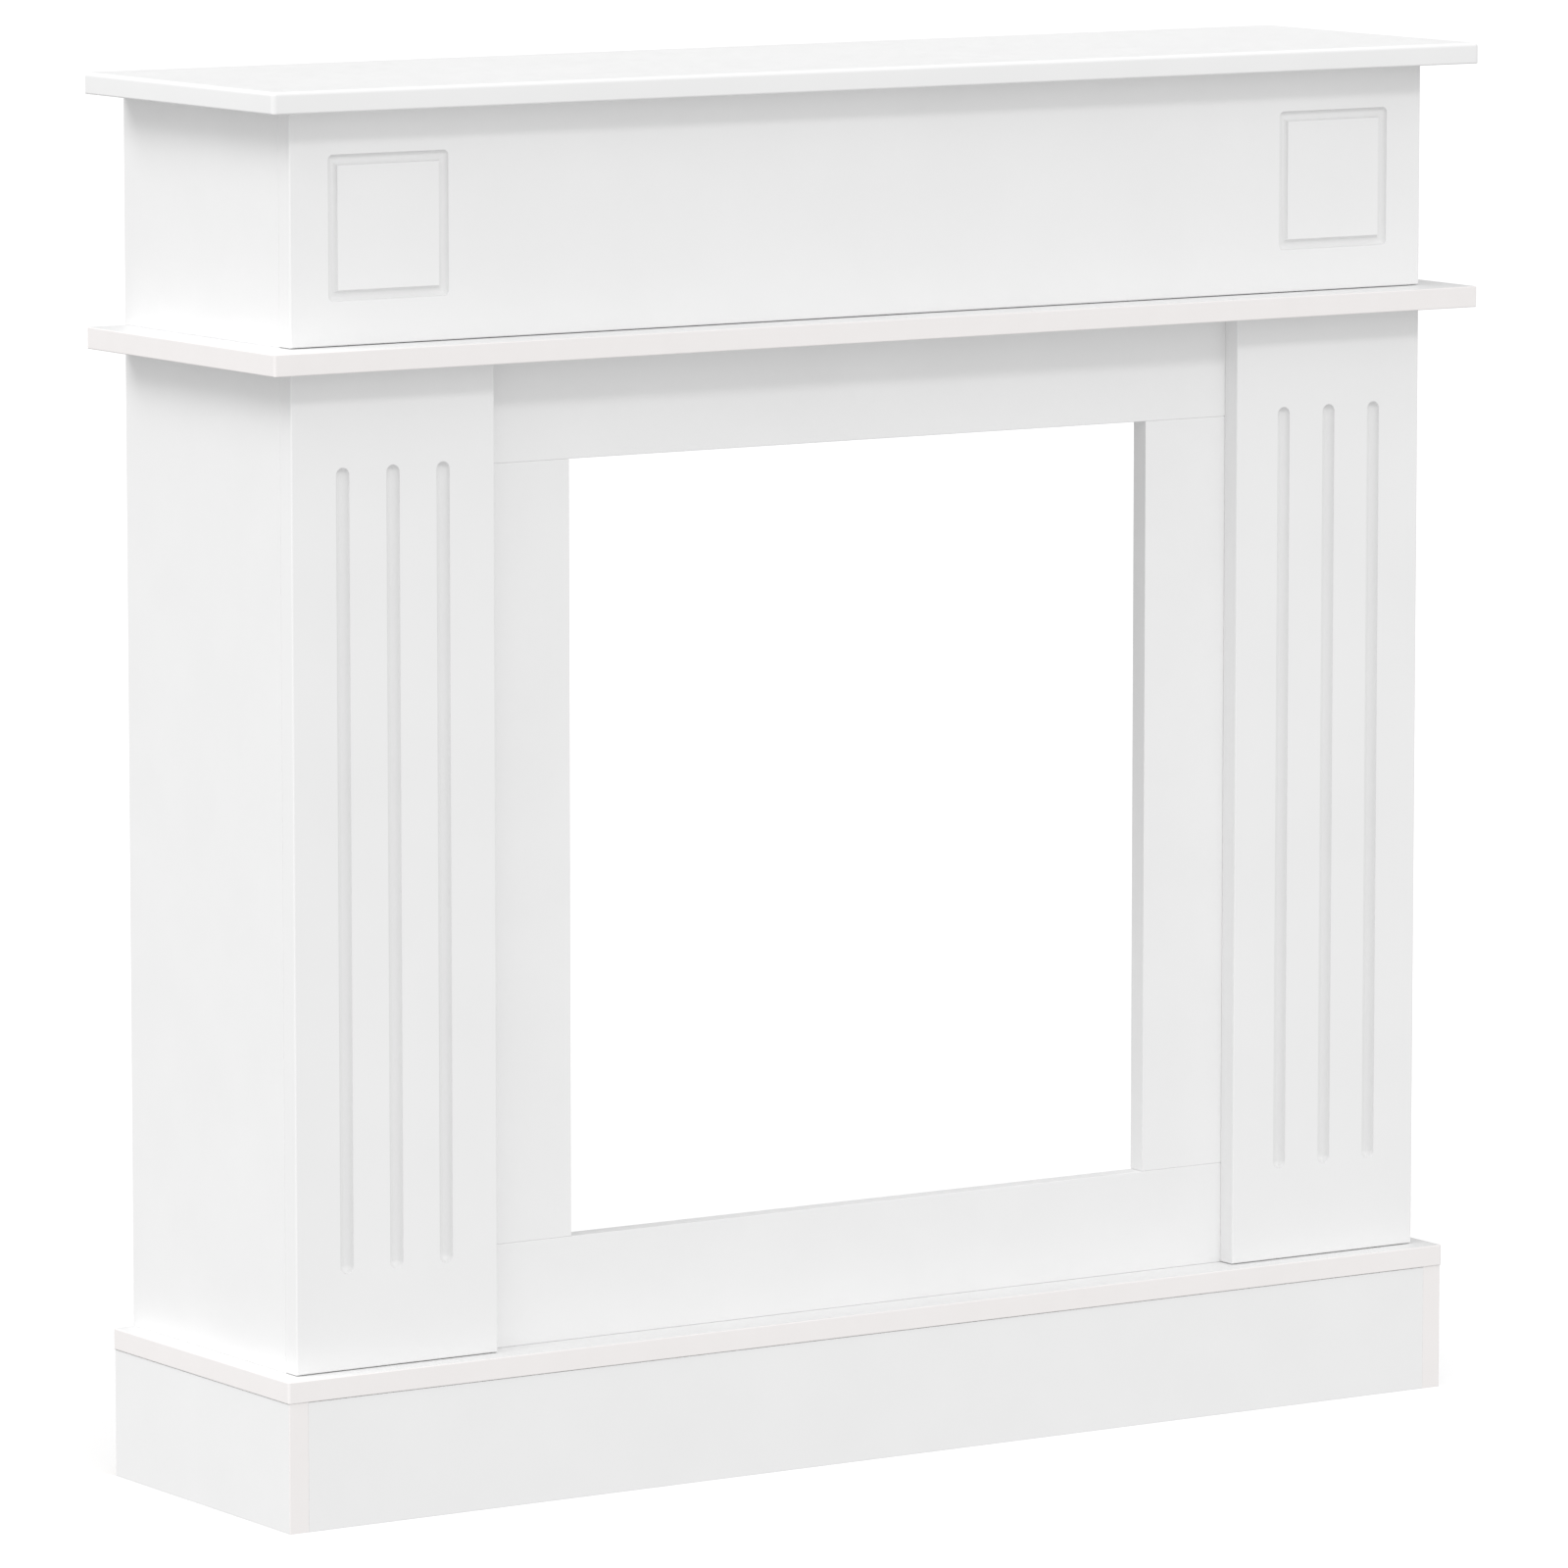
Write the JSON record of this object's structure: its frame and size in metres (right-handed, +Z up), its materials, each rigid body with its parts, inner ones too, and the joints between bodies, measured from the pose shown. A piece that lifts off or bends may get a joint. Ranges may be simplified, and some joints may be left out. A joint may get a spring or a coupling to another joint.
{
  "type": "fireplace surround",
  "caption": "White fireplace surround with a mantel shelf, a second shelf, fluted pilasters, a recessed frame round an open firebox, and a hearth on a plinth.",
  "frame": {"origin": "on the floor, in the middle of the surround's outline (the mantel shelf's plan)", "axes": "+X to the right seen from the front, along the mantel; -Y out of the front, +Y towards the wall; +Z up"},
  "size_m": [1, 0.255, 0.98],
  "materials": {
    "foil": "satin",
    "melamine": "satin",
    "banding": "satin",
    "zinc": "satin",
    "steel": "satin",
    "beech": "matte"
  },
  "bodies": {
    "surround": {"mantel_shelf": "foil", "frieze_front": "foil", "pilaster_front_left": "foil", "pilaster_front_right": "foil", "frieze_side_left": "melamine", "frieze_side_right": "melamine", "frieze_back_rail": "melamine", "ledge_shelf": "melamine", "leg_side_left": "melamine", "leg_side_right": "melamine", "frame_top_rail": "melamine", "frame_bottom_rail": "melamine", "frame_stile_left": "melamine", "frame_stile_right": "melamine", "rear_stretcher": "melamine", "hearth_shelf": "melamine", "plinth_front": "melamine", "plinth_side_left": "melamine", "plinth_side_right": "melamine", "plinth_back_rail": "melamine", "plinth_center_support": "melamine", "ledge_edge_band": "banding", "hearth_edge_band": "banding", "plinth_edge_band_left": "banding", "plinth_edge_band_right": "banding", "cam_bolt_mantel_left_front": "steel", "cam_bolt_mantel_left_rear": "steel", "cam_bolt_mantel_right_front": "steel", "cam_bolt_mantel_right_rear": "steel", "cam_bolt_ledge_left_front": "steel", "cam_bolt_ledge_left_rear": "steel", "cam_bolt_ledge_right_front": "steel", "cam_bolt_ledge_right_rear": "steel", "leg_screw_left_front": "steel", "leg_screw_left_rear": "steel", "leg_screw_right_front": "steel", "leg_screw_right_rear": "steel", "pilaster_screw_left_low": "steel", "pilaster_screw_left_high": "steel", "pilaster_screw_right_low": "steel", "pilaster_screw_right_high": "steel", "frieze_bracket_left": "steel", "frieze_bracket_right": "steel", "frame_bracket_left": "steel", "frame_bracket_right": "steel", "wall_bracket_left": "steel", "wall_bracket_right": "steel", "frieze_dowel_left_front": "beech", "frieze_dowel_left_rear": "beech", "frieze_dowel_right_front": "beech", "frieze_dowel_right_rear": "beech"},
    "cam_mantel_left_front": {"cam_lock_mantel_left_front": "zinc"},
    "cam_mantel_left_rear": {"cam_lock_mantel_left_rear": "zinc"},
    "cam_mantel_right_front": {"cam_lock_mantel_right_front": "zinc"},
    "cam_mantel_right_rear": {"cam_lock_mantel_right_rear": "zinc"},
    "cam_ledge_left_front": {"cam_lock_ledge_left_front": "zinc"},
    "cam_ledge_left_rear": {"cam_lock_ledge_left_rear": "zinc"},
    "cam_ledge_right_front": {"cam_lock_ledge_right_front": "zinc"},
    "cam_ledge_right_rear": {"cam_lock_ledge_right_rear": "zinc"}
  },
  "joints": [
    {"name": "cam_mantel_left_front_turn", "type": "hinge", "parent": "surround", "child": "cam_mantel_left_front", "pos_m": [-0.4552, -0.04, 0.931], "axis": [1, 0, 0], "range_deg": [0, 180]},
    {"name": "cam_mantel_left_rear_turn", "type": "hinge", "parent": "surround", "child": "cam_mantel_left_rear", "pos_m": [-0.4552, 0.085, 0.931], "axis": [1, 0, 0], "range_deg": [0, 180]},
    {"name": "cam_mantel_right_front_turn", "type": "hinge", "parent": "surround", "child": "cam_mantel_right_front", "pos_m": [0.4552, -0.04, 0.931], "axis": [-1, 0, 0], "range_deg": [0, 180]},
    {"name": "cam_mantel_right_rear_turn", "type": "hinge", "parent": "surround", "child": "cam_mantel_right_rear", "pos_m": [0.4552, 0.085, 0.931], "axis": [-1, 0, 0], "range_deg": [0, 180]},
    {"name": "cam_ledge_left_front_turn", "type": "hinge", "parent": "surround", "child": "cam_ledge_left_front", "pos_m": [-0.4552, -0.04, 0.756], "axis": [1, 0, 0], "range_deg": [0, 180]},
    {"name": "cam_ledge_left_rear_turn", "type": "hinge", "parent": "surround", "child": "cam_ledge_left_rear", "pos_m": [-0.4552, 0.085, 0.756], "axis": [1, 0, 0], "range_deg": [0, 180]},
    {"name": "cam_ledge_right_front_turn", "type": "hinge", "parent": "surround", "child": "cam_ledge_right_front", "pos_m": [0.4552, -0.04, 0.756], "axis": [-1, 0, 0], "range_deg": [0, 180]},
    {"name": "cam_ledge_right_rear_turn", "type": "hinge", "parent": "surround", "child": "cam_ledge_right_rear", "pos_m": [0.4552, 0.085, 0.756], "axis": [-1, 0, 0], "range_deg": [0, 180]}
  ]
}
